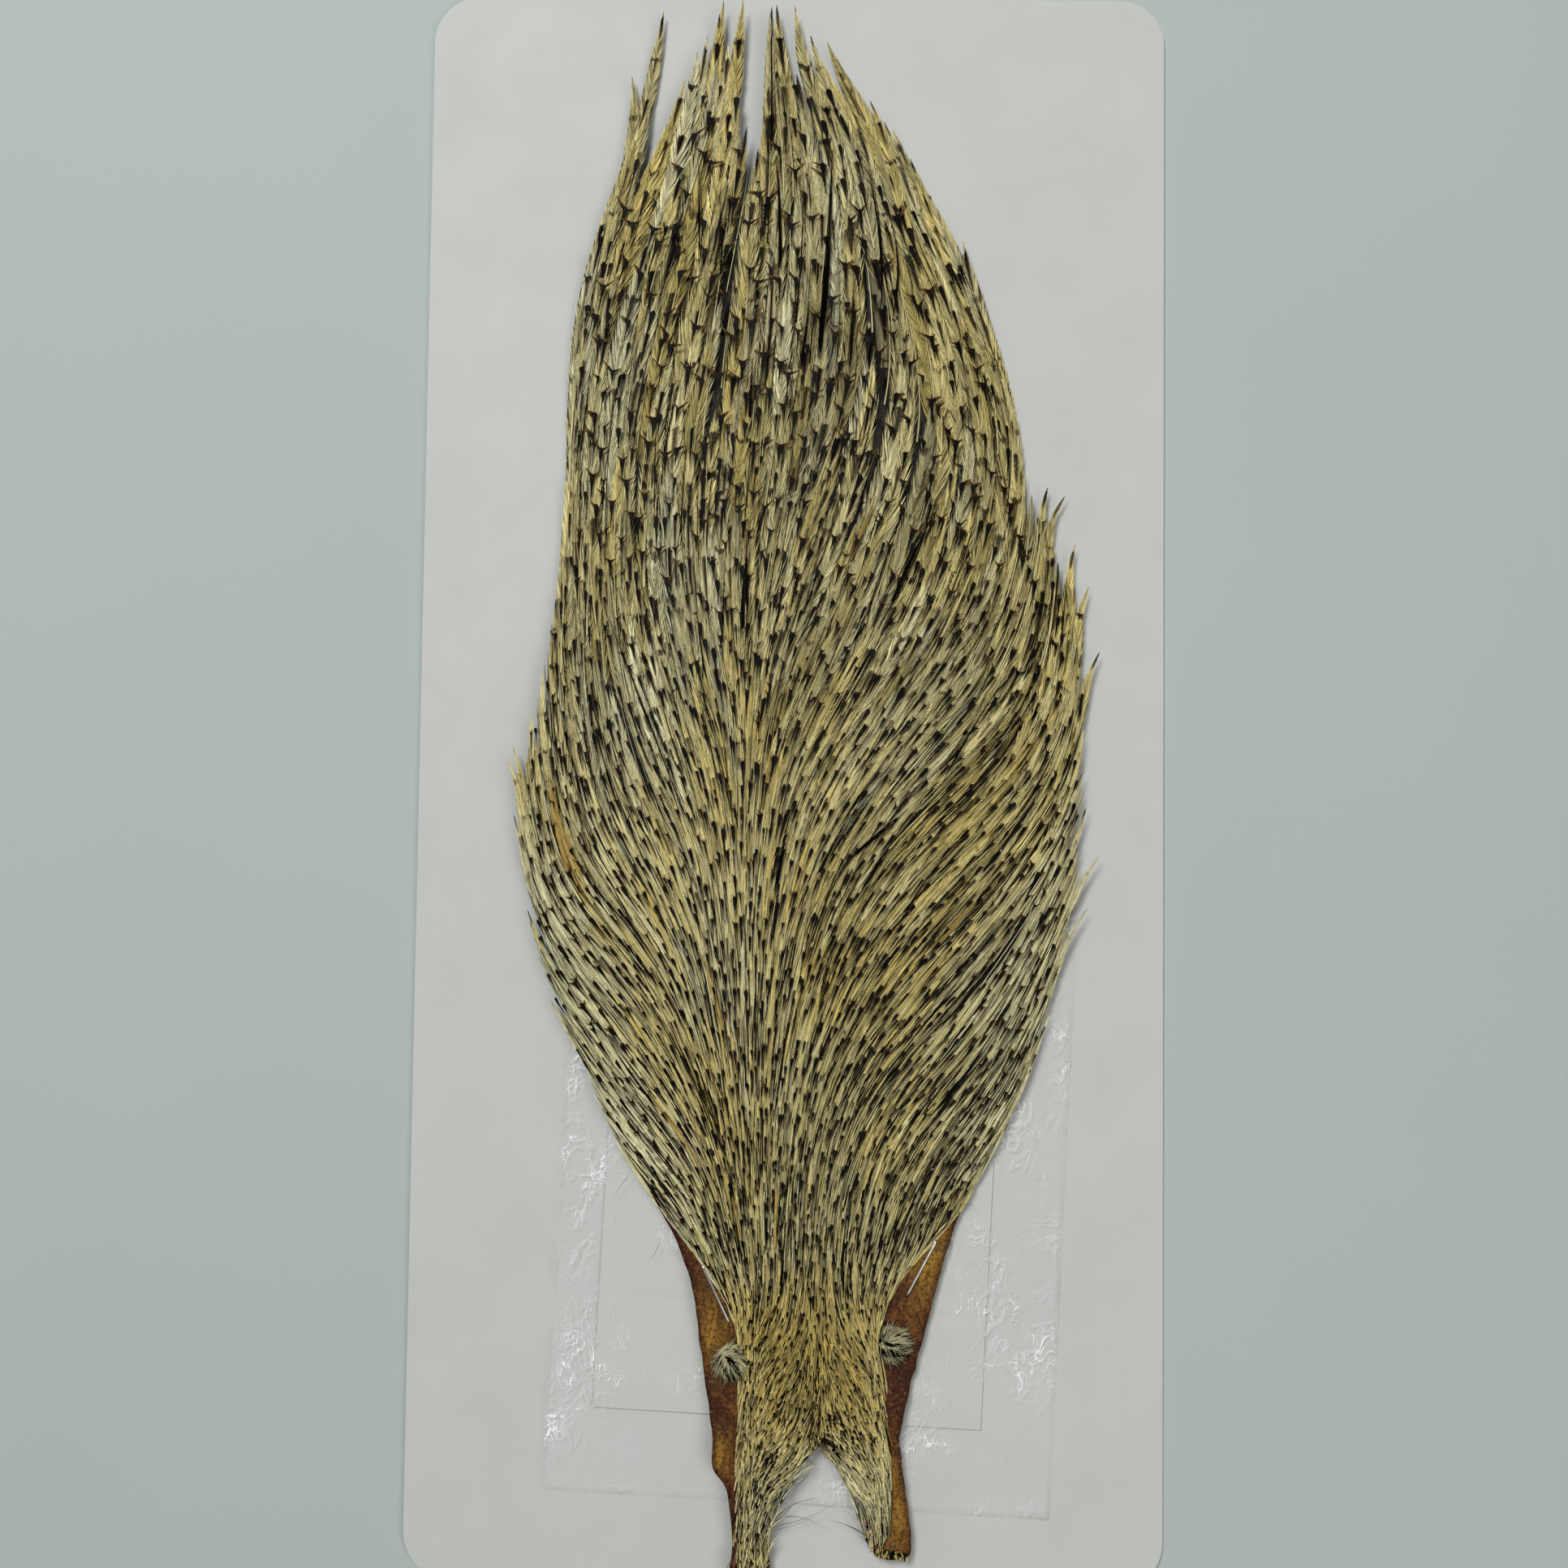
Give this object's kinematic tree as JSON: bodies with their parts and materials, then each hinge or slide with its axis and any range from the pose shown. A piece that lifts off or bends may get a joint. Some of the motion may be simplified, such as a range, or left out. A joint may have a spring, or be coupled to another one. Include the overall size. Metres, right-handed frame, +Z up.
{
  "type": "rooster cape",
  "caption": "Barred cream rooster neck cape: dried hide with long pointed hackles, stapled through a clear packet to a plain backing card",
  "frame": {"origin": "centre of the card's underside, at the bottom centre of the bounding box", "axes": "+Y along the card towards the feather tips, +X across the card, +Z up from the card towards the plumage"},
  "size_m": [0.1524, 0.325, 0.0122],
  "materials": {
    "card": "smooth white coated card, matt",
    "packet": "thin clear crinkled polythene film",
    "insert": "white folded paper",
    "cape": "straw and cream feathers with dark barring on an amber dried hide",
    "staples": "bright galvanised wire"
  },
  "bodies": {
    "root": {"card": "card", "packet": "packet", "insert": "insert", "cape": "cape", "staple_left": "staples", "staple_right": "staples"}
  },
  "joints": []
}
